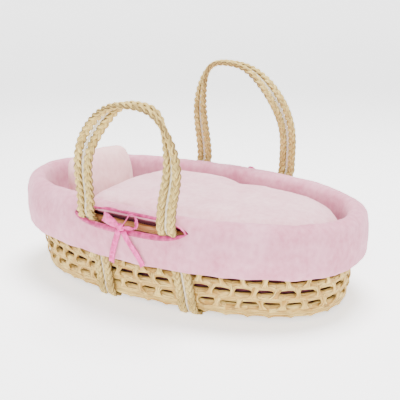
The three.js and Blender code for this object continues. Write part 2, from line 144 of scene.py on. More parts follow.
world = bpy.data.worlds.new("studio")
world.use_nodes = True
wire(world.node_tree.nodes["Background"], {"Color": linear("#FFFFFF"), "Strength": 0.5})
bpy.context.scene.world = world


def softbox(name, place, size, power):
    light = bpy.data.objects.new(name, bpy.data.lights.new(name, "AREA"))
    light.data.shape = "DISK"
    light.data.size = size
    light.data.energy = power
    light.location = place
    light.rotation_euler = (Vector((0, 0, 0.1)) - light.location).to_track_quat("-Z", "Y").to_euler()
    bpy.context.scene.collection.objects.link(light)


softbox("overhead", Vector((0.1, 0.2, 2.2)), 1.1, 128)
softbox("key", Vector((0.8, -1.9, 1.4)), 1.1, 34)


# ---------- ribbon ends ----------
# Four hanging ends of 7.8 mm satin ribbon, two under each bow. They are cut a little on the slant
# and cup slightly along their length.
MIX_A, MIX_B, MIX_OUT = 6, 7, 2  # a colour Mix node's sockets


# Satin: polyester floats woven so long that the face is one soft streaky highlight. Its lighter and darker
# patches of pink are painted sheen, mixed by noise.
def satin_material(name, dark, light):
    material, tree, shader = new_material(name)
    where = add_node(tree, "ShaderNodeTexCoord", {})
    thread = 0.9 * mm  # real threads are finer; drawn as coarse as they need to show
    painted_sheen_streaks = add_node(tree, "ShaderNodeTexNoise", {
        "Vector": where.outputs["Object"], "Scale": 1 / (5 * mm), "Detail": 2,
    })
    spread = add_node(tree, "ShaderNodeMapRange", {
        "Value": painted_sheen_streaks.outputs["Fac"], "From Min": 0.35, "From Max": 0.65,
    })
    # Painted sheen: darker and lighter pink, mixed by the noise above, stand in for the satin's highlight.
    tone = add_node(tree, "ShaderNodeMix", {
        0: spread.outputs["Result"], MIX_A: linear(dark), MIX_B: linear(light),
    }, data_type="RGBA")
    ribs = add_node(tree, "ShaderNodeTexNoise", {
        "Vector": where.outputs["Object"], "Scale": 1 / thread, "Detail": 1,
    })
    relief = add_node(tree, "ShaderNodeBump", {
        "Height": ribs.outputs["Fac"], "Strength": 0.25, "Distance": 0.1 * mm,
    })
    wire(shader, {
        "Base Color": tone.outputs[MIX_OUT], "Normal": relief.outputs["Normal"], "Roughness": 0.4,
        "Sheen Weight": 0.1, "Sheen Roughness": 0.4,
    })
    return material


satin = satin_material("woven_polyester_satin", "#B8186C", "#E2479C")

rim_half_length, rim_height = 238 * mm, 104 * mm  # the top of the weave, at the middle
head_rise = 7 * mm  # how much higher the rim stands at the head end
rim_slope = head_rise / (rim_half_length * rim_height)


def lifted(points):
    """The points with every height grown towards the head end, as the whole basket is."""
    points = np.array(points, dtype=float)
    points[..., 2] *= 1 - rim_slope * points[..., 0]
    return points


def skin(rings, closed=False):
    """Points and faces of a body through equal rings of points: a closed loop, or with two caps."""
    rings = np.asarray(rings)
    count, sides = rings.shape[:2]
    faces = []
    for i in range(count if closed else count - 1):
        here, there = i * sides, (i + 1) % count * sides
        for j in range(sides):
            k = (j + 1) % sides
            faces.append((here + j, here + k, there + k, there + j))
    if not closed:
        faces += [tuple(range(sides)), tuple(range((count - 1) * sides, count * sides))]
    return rings.reshape(-1, 3), faces


def unit(vectors):
    return vectors / np.linalg.norm(vectors, axis=-1, keepdims=True)


def ribbon(path, width_way, widths, thickness=0.6 * mm, cup=0.5 * mm, slant=0.0):
    """Rings of a flat ribbon along a path, with its width along `width_way`."""
    path = np.asarray(path, dtype=float)
    along = unit(np.gradient(path, axis=0))
    way = np.broadcast_to(np.asarray(width_way, dtype=float), path.shape)
    way = unit(way - along * np.sum(way * along, axis=1, keepdims=True))
    face = np.cross(along, way)
    columns = np.linspace(-1, 1, 7)
    rings = []
    for i, width in enumerate(np.broadcast_to(widths, len(path))):
        cut = slant * along[i] if i == len(path) - 1 else 0
        edge = [path[i] + u * (way[i] * width / 2 + cut) + face[i] * cup * (u * u - 0.4) for u in columns]
        front = [point + face[i] * thickness / 2 for point in edge]
        rings.append(front + [point - face[i] * thickness / 2 for point in reversed(edge)])
    return rings


# Centre lines of the hanging ends, in mm: along the basket, out from its long axis, and up.
short_end = [
    (-3.5, 161, 111.6), (-4.4, 161.2, 108.6), (-5.4, 161.2, 105.6), (-6.5, 161.1, 102.6), (-7.6, 161, 99.6),
    (-8.8, 160.8, 96.7), (-10, 160.6, 93.7), (-11.1, 160.3, 90.8), (-12.2, 160, 87.8), (-13.3, 159.6, 84.8),
    (-14.4, 159.2, 81.9), (-15.4, 158.8, 78.9), (-16.3, 158.3, 75.9), (-17.1, 157.8, 72.8),
    (-17.8, 157.3, 69.7), (-18.3, 156.9, 66.8),
]
long_end = [
    (4, 161, 111.8), (5.4, 161.3, 109), (7, 161.4, 106.2), (8.7, 161.4, 103.5), (10.5, 161.3, 100.8),
    (12.3, 161.1, 98.1), (14.2, 160.8, 95.4), (16.1, 160.5, 92.8), (18, 160.2, 90.2), (19.8, 159.9, 87.5),
    (21.6, 159.5, 84.8), (23.3, 159.1, 82.1), (24.9, 158.7, 79.3), (26.3, 158.2, 76.4), (27.5, 157.8, 73.4),
    (28.5, 157.4, 70.4),
]
sides_of = {"near": -1, "far": 1}
ribbon_width = 7.8 * mm
for side_name, side in sides_of.items():
    for end_name, end_line, slant in (("head", short_end, 0.8 * mm), ("foot", long_end, -1.2 * mm)):
        line = lifted([(x * mm, side * out * mm, z * mm) for x, out, z in end_line])
        node_name = f"{side_name}_bow_tail_{end_name}"
        rings = ribbon(line, (1, 0, 0), ribbon_width, slant=slant)
        tail = new_piece(f"{side_name}_ribbon_end_{end_name}", *skin(rings), satin)
        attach(tail, "root")
        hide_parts(node_name)


# ---------- the woven wall ----------
# Six rows of husk rope on an oval base. Each row is tied to the one below by knots of husk, and
# between the knots it arches up, which leaves a slot. The knots of neighbouring rows are staggered.
# Dried husk: matt, straw-coloured, with long fibres along each strip, and painted dark brown, as painted
# shade, where a strip turns in towards a crevice. A strand place is (along, around, 0.2 of its own tone +
# 0.8 of painted crevice shade).
def husk_material(name, light, middle, dark, fibre):
    material, tree, shader = new_material(name)
    strand = add_node(tree, "ShaderNodeAttribute", {}, attribute_name="strand")
    stretch = add_node(tree, "ShaderNodeVectorMath", {
        0: strand.outputs["Vector"], 1: (1 / (14 * fibre), 1 / fibre, 5),
    }, operation="MULTIPLY")
    fibres = add_node(tree, "ShaderNodeTexNoise", {
        "Vector": stretch.outputs["Vector"], "Scale": 1, "Detail": 3,
    })
    strips = add_node(tree, "ShaderNodeVectorMath", {
        0: strand.outputs["Vector"], 1: (1 / (22 * mm), 1 / (5 * mm), 18),
    }, operation="MULTIPLY")
    patches = add_node(tree, "ShaderNodeTexNoise", {
        "Vector": strips.outputs["Vector"], "Scale": 1, "Detail": 1,
    })
    spread = add_node(tree, "ShaderNodeMapRange", {
        "Value": patches.outputs["Fac"], "From Min": 0.35, "From Max": 0.65,
    })
    body = add_node(tree, "ShaderNodeMix", {
        0: spread.outputs["Result"], MIX_A: linear(middle), MIX_B: linear(light),
    }, data_type="RGBA")
    lines = add_node(tree, "ShaderNodeMapRange", {
        "Value": fibres.outputs["Fac"], "From Min": 0.36, "From Max": 0.5, "To Min": 0.75, "To Max": 0.0,
    })
    colour = add_node(tree, "ShaderNodeMix", {
        0: lines.outputs["Result"], MIX_A: body.outputs[MIX_OUT], MIX_B: linear(dark),
    }, data_type="RGBA")
    # Painted shade: the strand's third part mixes the husk towards dark brown where its surface turns into a
    # crevice.
    parts = add_node(tree, "ShaderNodeSeparateXYZ", {"Vector": strand.outputs["Vector"]})
    depth = add_node(tree, "ShaderNodeMapRange", {
        "Value": parts.outputs["Z"], "From Min": 0.2, "From Max": 0.9,
    })
    painted_shade_colour = add_node(tree, "ShaderNodeMix", {
        0: depth.outputs["Result"], MIX_A: colour.outputs[MIX_OUT], MIX_B: linear("#4A2A14"),
    }, data_type="RGBA")
    relief = add_node(tree, "ShaderNodeBump", {
        "Height": fibres.outputs["Fac"], "Strength": 0.7, "Distance": 0.5 * mm,
    })
    wire(shader, {
        "Base Color": painted_shade_colour.outputs[MIX_OUT], "Normal": relief.outputs["Normal"], "Roughness": 0.72,
        "Specular IOR Level": 0.35,
    })
    return material


husk = husk_material("dried_husk_rope", "#E0C374", "#B78C40", "#63421C", 0.9 * mm)

base_half = np.array([228, 117]) * mm  # the outer face at the floor of the basket
rim_half = np.array([rim_half_length, 136 * mm])  # and at its rim
floor_height = 4.3 * mm
squareness = 2.3  # 2 is an ellipse


def wall_half(height):
    share = np.clip((height - floor_height) / (rim_height - floor_height), 0, 1)
    return base_half + (rim_half - base_half) * share


def signed_power(values, power):
    return np.sign(values) * np.abs(values) ** power


def oval(half, count):
    """Evenly spaced points round the basket's oval from +X towards +Y, and the ways out of it."""
    angle = np.linspace(0, 2 * pi, 2401)
    line = half * signed_power(np.stack([np.cos(angle), np.sin(angle)], axis=1), 2 / squareness)
    arc = np.concatenate([[0], np.cumsum(np.linalg.norm(np.diff(line, axis=0), axis=1))])
    even = np.linspace(0, arc[-1], count, endpoint=False)
    spots = np.stack([np.interp(even, arc, line[:, 0]), np.interp(even, arc, line[:, 1])], axis=1)
    ahead, behind = np.roll(spots, -1, axis=0), np.roll(spots, 1, axis=0)
    along = unit(ahead - behind)
    return spots, np.stack([along[:, 1], -along[:, 0]], axis=1), arc[-1]


def joined(bodies):
    """Points, faces and strand places of several bodies as one."""
    points, faces, strands = [], [], []
    for body_points, body_faces, body_strand in bodies:
        start = len(points)
        points.extend(body_points)
        strands.extend(body_strand)
        faces.extend(tuple(start + i for i in face) for face in body_faces)
    return points, faces, strands


coil_thickness = 11 * mm
knot_spacing = 27 * mm
slot_rises = [2.4 * mm, 3.2 * mm, 5.4 * mm, 6.6 * mm, 6.2 * mm, 5 * mm]  # how far each row arches up
rope_sides = 16
steps_per_knot = 18


def painted_crevice_shade(facing, limit):
    """How much painted crevice shade a strand place holds for a surface that faces out by `facing`, from 1
    down to -1.
    """
    return 0.8 * min(max((limit - facing) / limit, 0), 1)


def knot_stations(half):
    """How many knots go round a row, and the places and the ways out at even steps between them."""
    knots = round(oval(half, 8)[2] / knot_spacing)
    spots, outs, _ = oval(half, knots * steps_per_knot)
    return knots, spots, outs


def rope_row(half, low, high, shift, rise, rng):
    """One row of rope, tied in at its knots and arched between them."""
    knots, spots, outs = knot_stations(half)
    tones = [rng.random() for _ in range(knots)]
    turns = [rng.uniform(0, 2 * pi) for _ in range(knots)]
    lifts = [rng.uniform(0.72, 1.12) for _ in range(knots)]
    skews = [rng.uniform(-0.35, 0.35) for _ in range(knots)]
    around = np.linspace(0, 2 * pi, rope_sides, endpoint=False)
    rings, strand = [], []
    for i, (spot, out) in enumerate(zip(spots, outs)):
        phase = (i / steps_per_knot + shift) % 1
        cell = int(i / steps_per_knot + shift) % knots
        between = 4 * phase * (1 - phase)
        ramp = min(min(phase, 1 - phase) / 0.19, 1)
        arch = ramp * ramp * (3 - 2 * ramp) * (0.7 + 0.3 * between + skews[cell] * (phase - 0.5))
        bottom = low + rise * lifts[cell] * arch
        top = high - 0.9 * mm * (1 - between)
        swell = 0.84 + 0.16 * between ** 0.5
        for k, angle in enumerate(around):
            groove = 0.07 * cos(3 * angle + turns[cell] + 2.5 * phase) * between
            ripple = 0.03 * noise.noise(Vector((spot[0] * 160, spot[1] * 160, angle * 2 + low * 900)))
            reach = swell + groove + ripple
            across = signed_power(cos(angle), 0.8) * reach * coil_thickness / 2 - coil_thickness / 2
            height = (top + bottom) / 2 + signed_power(sin(angle), 0.8) * (top - bottom) / 2 * (1 + groove)
            rings.append((*(spot + out * across), height))
            # Painted shade: the rope darkens where its surface turns in towards the rows above and below it.
            depth = 0.2 * tones[cell] + painted_crevice_shade(cos(angle), 0.45)
            strand.append((i / steps_per_knot * knot_spacing, angle * 5 * mm, depth))
    rings = np.array(rings).reshape(len(spots), rope_sides, 3)
    points, faces = skin(rings, closed=True)
    return points, faces, strand


def knot_strips(half, low, rise, shift, rng, reach_down):
    """The husk strips that tie a row to the one below, one at each knot."""
    knots, spots, outs = knot_stations(half)
    bodies = []
    for knot in range(knots):
        i = round((knot - shift) * steps_per_knot) % len(spots)
        spot, out = np.array([*spots[i], 0]), np.array([*outs[i], 0])
        along = np.array([-out[1], out[0], 0])
        lean = rng.uniform(-0.55, 0.55)
        width = rng.uniform(3.4, 5.2) * mm
        tone = rng.random()
        middle = low + rise / 2
        top = low + rise
        profile = [
            (-4.5 * mm, top + 5 * mm), (-1.4 * mm, top + 3.6 * mm), (-0.6 * mm, top + 1.2 * mm),
            (-0.5 * mm, middle), (-0.6 * mm, low), (-1.2 * mm, low - 0.45 * reach_down),
            (-2.2 * mm, low - 0.8 * reach_down), (-5.5 * mm, low - reach_down),
        ]
        path = np.array([
            spot + out * o + along * lean * (z - middle) + np.array([0, 0, z]) for o, z in profile
        ])
        heading = unit(np.gradient(path, axis=0))
        bulge = np.cross(heading, along)
        pinch = [0.7, 1.4, 1.05, 0.75, 0.75, 1.15, 1.5, 0.9]
        angles = np.linspace(0, 2 * pi, 10, endpoint=False)
        rings = [[
            centre + along * width * size * cos(a) + bulge[j] * 1.2 * mm * sin(a) * (1 + 0.2 * cos(3 * a))
            for a in angles
        ] for j, (centre, size) in enumerate(zip(path, pinch))]
        points, faces = skin(rings)
        # Painted shade: each knot strip is darkened along its sides, where it turns in against the rope.
        painted_knot_shades = [0.2 * tone + 0.5 * painted_crevice_shade(abs(sin(a)), 0.25) for a in angles]
        strand = [(z, a * 3 * mm + knot, depth) for _, z in profile for a, depth in zip(angles, painted_knot_shades)]
        bodies.append((points, faces, strand))
    return bodies


first_row, row_height, row_count = 19.7 * mm, 16 * mm, 6
husk_dice = random.Random(4)
for row in range(row_count):
    low = floor_height if row == 0 else floor_height + first_row + (row - 1) * row_height
    high = floor_height + first_row + row * row_height
    half = wall_half((low + high) / 2)
    shift = 0.5 * (row % 2) + 0.25
    rise = slot_rises[row]
    bodies = [rope_row(half, low, high, shift, rise, husk_dice)]
    if row > 0:
        bodies += knot_strips(half, low, rise, shift, husk_dice, 6 * mm)
    points, faces, strand = joined(bodies)
    woven = new_piece(f"woven_row_{row + 1}", lifted(points), faces, husk, strand)
    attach(woven, "root")
    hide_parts(f"wall_row_{row + 1}")

# The base is the same rope, coiled flat from the wall to the middle.
mat_high = 12.3 * mm
mat_bodies = []
mat_half = wall_half(floor_height) - coil_thickness - 0.5 * mm
while mat_half[1] > 6 * mm:
    mat_bodies.append(rope_row(mat_half, floor_height, mat_high, husk_dice.random(), 0.8 * mm, husk_dice))
    mat_half = mat_half - coil_thickness * 0.98
points, faces, strand = joined(mat_bodies)
mat = new_piece("coiled_base", lifted(points), faces, husk, strand)
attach(mat, "root")
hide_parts("base_mat")


# ---------- the cane rim ----------
# One peeled cane rod, bent round the top of the weave and lashed to it. It shows through the slots.
# Peeled cane: orange-brown with fine streaks along it, half polished, and a little swollen at each growth
# ring.
cane, tree, shader = new_material("peeled_bent_cane")
strand = add_node(tree, "ShaderNodeAttribute", {}, attribute_name="strand")
stretch = add_node(tree, "ShaderNodeVectorMath", {
    0: strand.outputs["Vector"], 1: (1 / (30 * mm), 1 / (1.1 * mm), 1),
}, operation="MULTIPLY")
streaks = add_node(tree, "ShaderNodeTexNoise", {
    "Vector": stretch.outputs["Vector"], "Scale": 1, "Detail": 3,
})
spread = add_node(tree, "ShaderNodeMapRange", {
    "Value": streaks.outputs["Fac"], "From Min": 0.35, "From Max": 0.65,
})
colour = add_node(tree, "ShaderNodeMix", {
    0: spread.outputs["Result"], MIX_A: linear("#B87238"), MIX_B: linear("#F0B474"),
}, data_type="RGBA")
relief = add_node(tree, "ShaderNodeBump", {
    "Height": streaks.outputs["Fac"], "Strength": 0.3, "Distance": 0.2 * mm,
})
wire(shader, {
    "Base Color": colour.outputs[MIX_OUT], "Normal": relief.outputs["Normal"], "Roughness": 0.42,
    "Coat Weight": 0.15, "Coat Roughness": 0.3,
})
cane_radius = 5 * mm
cane_height = rim_height + 0.3 * mm + cane_radius
growth_ring = 78 * mm
spots, outs, perimeter = oval(rim_half - coil_thickness / 2, 360)
around = np.linspace(0, 2 * pi, 16, endpoint=False)
rings, strand = [], []
for i, (spot, out) in enumerate(zip(spots, outs)):
    place = i / len(spots) * perimeter
    from_ring = (place % growth_ring) - growth_ring / 2
    radius = cane_radius * (0.95 + 0.05 * np.exp(-(from_ring / (2 * mm)) ** 2))
    rings.append([(*(spot + out * radius * cos(a)), cane_height + radius * sin(a)) for a in around])
    strand.extend((place, a * cane_radius, 0) for a in around)
points, faces = skin(rings, closed=True)
rod = new_piece("cane_rim_rod", lifted(points), faces, cane, strand)
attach(rod, "root")
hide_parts("rim_cane")


# ---------- straps and handles ----------
# Two endless pairs of three-strand husk plaits run under the basket and up through the slots as the
# handles, with a flat cotton tape sewn between each pair. They bend over the padded rim.
plaited = husk_material("plaited_husk", "#D2B970", "#B3964E", "#5E4526", 0.7 * mm)
# Cotton tape: unbleached, matt, with a fine herringbone rib across it.
tape_cotton, tree, shader = new_material("woven_cotton_tape")
strand = add_node(tree, "ShaderNodeAttribute", {}, attribute_name="strand")
rib = add_node(tree, "ShaderNodeTexWave", {
    "Vector": strand.outputs["Vector"], "Scale": 1 / (2 * pi * 0.35 * mm), "Distortion": 0.4,
}, bands_direction="DIAGONAL")
colour = add_node(tree, "ShaderNodeMix", {
    0: rib.outputs["Fac"], MIX_A: linear("#BCAE94"), MIX_B: linear("#DCD0B8"),
}, data_type="RGBA")
relief = add_node(tree, "ShaderNodeBump", {
    "Height": rib.outputs["Fac"], "Strength": 0.5, "Distance": 0.25 * mm,
})
wire(shader, {"Base Color": colour.outputs[MIX_OUT], "Normal": relief.outputs["Normal"], "Roughness": 0.9})

plait_half_width, plait_half_depth = 5.7 * mm, 4.3 * mm
pressed_half_width, pressed_half_depth = 7 * mm, 2 * mm
plait_period = 27 * mm  # along the plait, for a strand to come back to the same edge
tape_half_width, tape_half_thickness = 1.7 * mm, 0.8 * mm
sewn_overlap = 0.3 * mm  # how far the plaits are drawn over the tape's edges
plait_sides, tape_sides = 10, 12
hinge_side, hinge_height = 161 * mm, 136 * mm
foot_side = 157 * mm  # the handles' feet stand a little inside the line they bend about
lead_start = 112 * mm  # where straps and handles meet, out of sight below the slot's lip


def strand_frame(line, pair_way, pressed, spacing):
    """A line at even spacing, with its ways across the pair and out of it, its pressing and its arc."""
    arc = np.concatenate([[0], np.cumsum(np.linalg.norm(np.diff(line, axis=0), axis=1))])
    even = np.linspace(0, arc[-1], max(int(arc[-1] / spacing), 2) + 1)
    every = np.concatenate([line, pair_way, pressed[:, None]], axis=1)
    every = np.stack([np.interp(even, arc, column) for column in every.T], axis=1)
    line, way, flat = every[:, :3], every[:, 3:6], every[:, 6:]
    along = unit(np.gradient(line, axis=0))
    across = unit(way - along * np.sum(way * along, axis=1, keepdims=True))
    return line, across, np.cross(across, along), flat, even


def plait(line, pair_way, pressed, start):
    """Three strands crossing along a line. `pressed` is 0 where round and 1 where flattened."""
    line, across, outward, flat, arc = strand_frame(line, pair_way, pressed, 1.3 * mm)
    width = plait_half_width + (pressed_half_width - plait_half_width) * flat
    depth = plait_half_depth + (pressed_half_depth - plait_half_depth) * flat
    bodies = []
    for k in range(3):
        angle = (2 * pi * ((arc + start) / plait_period + k / 3))[:, None]
        centre = line + across * np.sin(angle) * width * 0.46 + outward * np.sin(2 * angle) * depth * 0.5
        heading = unit(np.gradient(centre, axis=0))
        breadth = unit(np.cross(heading, outward))
        rise = np.cross(breadth, heading)
        rings = []
        for a in np.linspace(0, 2 * pi, plait_sides, endpoint=False):
            flat_face = signed_power(sin(a), 0.75) * 0.5
            rings.append(centre + breadth * width * 0.56 * cos(a) + rise * depth * flat_face)
        points, faces = skin(np.stack(rings, axis=1))
        # Painted shade: each plait strand is darkened towards its edges, where it tucks under its
        # neighbours.
        plait_edge_shades = [painted_crevice_shade(1 - abs(cos(2 * pi * j / plait_sides)), 0.22) for j in range(plait_sides)]
        strand = [(s, j * 1.1 * mm + k, 0.06 * k + edge) for s in arc for j, edge in enumerate(plait_edge_shades)]
        bodies.append((points, faces, strand))
    return joined(bodies)


def tape_strip(line, pair_way, pressed):
    line, across, outward, _, arc = strand_frame(line, pair_way, pressed, 2.5 * mm)
    rings = []
    for a in np.linspace(0, 2 * pi, tape_sides, endpoint=False):
        side_way = signed_power(cos(a), 0.5) * tape_half_width
        rings.append(line + across * side_way + outward * signed_power(sin(a), 0.7) * tape_half_thickness)
    points, faces = skin(np.stack(rings, axis=1))
    return points, faces, [(s, j * 0.5 * mm, 0) for s in arc for j in range(tape_sides)]


def sewn_strand(node_name, kind, run, start=0.0):
    """One piece of a strap or a handle: a plait, or the tape between two plaits."""
    if kind == "tape":
        points, faces, strand = tape_strip(*run)
        material, slot = tape_cotton, "cotton_tape"
    else:
        points, faces, strand = plait(*run, start)
        material, slot = plaited, "plaited_husk"
    piece = new_piece(f"{node_name}_woven", lifted(points), faces, material, strand)
    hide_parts(node_name)
    return piece


handles = {
    "near": dict(side=-1, centre=4, half_span=58.5, rise=128, bow=0.13, lean=16, inward=9),
    "far": dict(side=1, centre=10, half_span=71.5, rise=153, bow=0.08, lean=-22, inward=14),
}
strap_floor = {"head": {"near": -54 * mm, "far": -58 * mm}, "foot": {"near": 70 * mm, "far": 76 * mm}}
end_sign = {"head": -1, "foot": 1}


def oval_side(x, half_length, half_width):
    """How far out the side of an oval is at a place along it."""
    return half_width * (1 - min(abs(x / half_length), 1) ** squareness) ** (1 / squareness)


def foot_of(side_name, end):
    handle = handles[side_name]
    return (handle["centre"] + end_sign[end] * handle["half_span"]) * mm


def strand_offset(flat):
    plait_side = plait_half_width + (pressed_half_width - plait_half_width) * flat
    return tape_half_width + plait_side - sewn_overlap


def strand_x(side_name, end, place, height, flat):
    top, bottom = foot_of(side_name, end), strap_floor[end][side_name]
    return bottom + (top - bottom) * height / hinge_height + place * strand_offset(flat)


def on_wall(x, height, stand_off):
    return oval_side(max(abs(x) - pressed_half_width, 0), *wall_half(height)) + 0.3 * mm + stand_off


def lead_points(side_name, end, place, heights):
    """The run between the wall and the hinge line, where the strap sways out over the padded rim."""
    points = []
    for height in heights:
        x = strand_x(side_name, end, place, height, 0)
        share = max(height - rim_height, 0) / (hinge_height - rim_height)
        sway = share * (2 - share)
        wall = on_wall(x, min(height, rim_height), plait_half_depth)
        ease = -4.5 * mm * sin(pi * min(max((hinge_height - height) / (60 * mm), 0), 1))
        points.append((x + ease, sides_of[side_name] * (wall + (foot_side - wall) * sway), height))
    return points


def strap_half(side_name, end, place):
    """One strand from the slot down to the floor, and how flat it is pressed at each point."""
    heights = [lead_start + 4 * mm, rim_height, 80 * mm, 56 * mm, 38 * mm, 22 * mm]
    points = [(*point, 0.0) for point in lead_points(side_name, end, place, heights)]
    side = sides_of[side_name]
    corner = on_wall(strand_x(side_name, end, place, 0, 1), floor_height, 0)
    for out, height, flat in ((4.6, 14, 0.1), (4.0, 8.5, 0.3), (2.2, 4.6, 0.6), (-2.5, 2.2, 0.95)):
        x = strand_x(side_name, end, place, height * mm, flat)
        wall = on_wall(x, height * mm, out * mm) if height > 10 else corner + out * mm
        points.append((x, side * wall, height * mm, flat))
    return points


def through(points, steps):
    """Points of a smooth curve through these, with this many steps between neighbours."""
    p = np.asarray(points, dtype=float)
    p = np.vstack([2 * p[0] - p[1], p, 2 * p[-1] - p[-2]])
    curve = []
    for i in range(1, len(p) - 2):
        for t in np.arange(steps) / steps:
            curve.append(0.5 * (
                2 * p[i] + (p[i + 1] - p[i - 1]) * t
                + (2 * p[i - 1] - 5 * p[i] + 4 * p[i + 1] - p[i + 2]) * t * t
                + (3 * p[i] - p[i - 1] - 3 * p[i + 1] + p[i + 2]) * t ** 3
            ))
    return np.array(curve + [p[-2]])


def strap_strand(end, place):
    near, far = strap_half("near", end, place), strap_half("far", end, place)
    line = np.concatenate([through(near, 6), through(far, 6)[::-1]])
    line[:, 2] = np.maximum(line[:, 2], pressed_half_depth + 0.02 * mm)
    pressed = np.clip(line[:, 3], 0, 1)
    return line[:, :3], np.tile((1.0, 0.0, 0.0), (len(line), 1)), pressed


strand_kinds = (("plait_outer", 1), ("plait_inner", -1), ("tape", 0))
for end in ("head", "foot"):
    for kind, place in strand_kinds:
        strap = sewn_strand(f"{end}_strap_{kind}", kind, strap_strand(end, place * end_sign[end]))
        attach(strap, "root")


arch_squareness = 2.75
arch_start = hinge_height + 0.3 * mm  # just above the line that the handles bend about


def handle_middle(handle, share):
    """The line between the two plaits of a handle, from its head foot to its foot foot."""
    angle = pi * (1 - share)
    across = handle["half_span"] * signed_power(cos(angle), 2 / arch_squareness)
    high = abs(sin(angle)) ** (2 / arch_squareness)
    widening = 1 + handle["bow"] * sin(pi * min(high, 1)) ** 2
    x = handle["centre"] + across * widening + handle["lean"] * high ** 2
    crown_side = hinge_side - handle["inward"] * mm
    y = handle["side"] * (foot_side + (crown_side - foot_side) * high ** 2)
    return np.array([x * mm, y, arch_start + handle["rise"] * mm * high])


def handle_strand(side_name, place):
    """A strand of a handle, and the way across the pair, which makes a quarter turn to the crown."""
    handle = handles[side_name]
    points, ways = [], []
    lead = np.linspace(lead_start, hinge_height, 9)[:-1]
    offset = strand_offset(0)
    for point in lead_points(side_name, "head", 0, lead):
        points.append(np.array(point) + np.array([-place * offset, 0, 0]))
        ways.append((-1, 0, 0))
    step = 1e-3
    for share in np.linspace(0, 1, 121):
        along = handle_middle(handle, min(share + step, 1)) - handle_middle(handle, max(share - step, 0))
        out_of_arch = unit(np.array([-along[2], 0, along[0]]))
        turn = pi / 2 * sin(pi * share) ** 2
        way = cos(turn) * out_of_arch + sin(turn) * np.array([0, handle["side"], 0])
        points.append(handle_middle(handle, share) + way * place * offset)
        ways.append(way)
    for point in reversed(lead_points(side_name, "foot", 0, lead)):
        points.append(np.array(point) + np.array([place * offset, 0, 0]))
        ways.append((1, 0, 0))
    return np.array(points), np.array(ways, dtype=float), np.zeros(len(points))


for side_name, side in sides_of.items():
    body = f"{side_name}_handle"
    for kind, place in strand_kinds:
        run = handle_strand(side_name, place)
        handle = sewn_strand(f"{body}_{kind}", kind, run, start=0.4 * plait_period * place)
        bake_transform(handle)


# ---------- the plush liner ----------
# A bag of short-pile plush over thin wadding: a tub inside the basket, a padded roll over the rim
# and a skirt outside, all one sheet, with a long slot cut in the skirt at each side for the handles.
# Short-pile plush: a deep matt pink, with pale pile tips that catch the light at grazing angles.
def plush_material(name, light, dark, streak):
    """`streak` is how much longer the pile's clumps look down the cloth than across it."""
    material, tree, shader = new_material(name)
    where = add_node(tree, "ShaderNodeTexCoord", {})
    clouds = add_node(tree, "ShaderNodeTexNoise", {
        "Vector": where.outputs["Object"], "Scale": 1 / (45 * mm), "Detail": 3,
    })
    hang = add_node(tree, "ShaderNodeVectorMath", {
        0: where.outputs["Object"], 1: (1, 1, 1 / streak),
    }, operation="MULTIPLY")
    clumps = add_node(tree, "ShaderNodeTexNoise", {
        "Vector": hang.outputs["Vector"], "Scale": 1 / (7 * mm), "Detail": 4,
    })
    both = add_node(tree, "ShaderNodeMath", {
        0: clouds.outputs["Fac"], 1: clumps.outputs["Fac"],
    }, operation="ADD")
    spread = add_node(tree, "ShaderNodeMapRange", {
        "Value": both.outputs["Value"], "From Min": 0.65, "From Max": 1.35,
    })
    colour = add_node(tree, "ShaderNodeMix", {
        0: spread.outputs["Result"], MIX_A: linear(dark), MIX_B: linear(light),
    }, data_type="RGBA")
    pile = add_node(tree, "ShaderNodeTexNoise", {
        "Vector": hang.outputs["Vector"], "Scale": 1 / (1.3 * mm), "Detail": 3,
    })
    relief = add_node(tree, "ShaderNodeBump", {
        "Height": pile.outputs["Fac"], "Strength": 0.35, "Distance": 0.7 * mm,
    })
    wire(shader, {
        "Base Color": colour.outputs[MIX_OUT], "Normal": relief.outputs["Normal"], "Roughness": 0.95,
        "Specular IOR Level": 0.1, "Sheen Weight": 0.25, "Sheen Roughness": 0.5,
        "Sheen Tint": linear("#FFE6EC"),
    })
    return material


plush = plush_material("short_pile_plush", "#DA9FB0", "#C3788E", 1.3)


def rumple(piece, swells):
    """Moves a piece's surface in and out by soft noise: each swell is (height, size, squash in z)."""
    mesh = piece.data
    normals = [vertex.normal.copy() for vertex in mesh.vertices]
    for vertex, normal in zip(mesh.vertices, normals):
        shift = 0
        for height, size, squash in swells:
            at = vertex.co / size
            at.z *= squash
            shift += height * noise.noise(at)
        vertex.co += normal * shift


# Outlines of the sheet, each point [out at the ends, out at the sides, height] from the rim's oval.
# The first of each pair is away from the slots; the second is at the middle of a slot.
inner_and_roll = [
    [-24.7, -32.5, 17], [-22.6, -28.5, 38], [-20.5, -24.5, 60], [-18.5, -20.8, 80], [-16.7, -17.2, 97],
    [-15.6, -15.6, 112], [-14.6, -14.6, 121], [-12.6, -12.6, 128.5], [-8.9, -7.9, 133.3], [-3.75, -1.6, 135],
    [1.6, 5, 133.9], [6.2, 10.8, 130.4], [9.2, 14.6, 125.5], [10.4, 16.8, 120],
]
inner_and_roll_open = inner_and_roll[:10] + [
    [1.2, 3.4, 134.4], [4.6, 7.4, 132.8], [6.4, 9.8, 131], [7, 10.8, 128.9],
]
skirt_and_hem = [
    [10.4, 16.8, 120], [11.3, 18.9, 114.5], [12, 20.7, 107], [12.2, 21.5, 97], [12, 20.6, 87],
    [11.6, 18.6, 77], [10.6, 16.4, 71], [8.6, 13.8, 69], [6.6, 11.6, 70], [6.4, 11.2, 75],
    [7, 13, 88], [7.4, 14.2, 102], [6.6, 12.8, 113], [5.6, 11, 118],
]
skirt_and_hem_open = [
    [11.6, 20.4, 112.4], [11.9, 21.4, 109.8], [12.2, 21.8, 104.5],
] + skirt_and_hem[3:11] + [[7.6, 15, 100], [8.2, 16.4, 106], [8.8, 17.6, 111]]
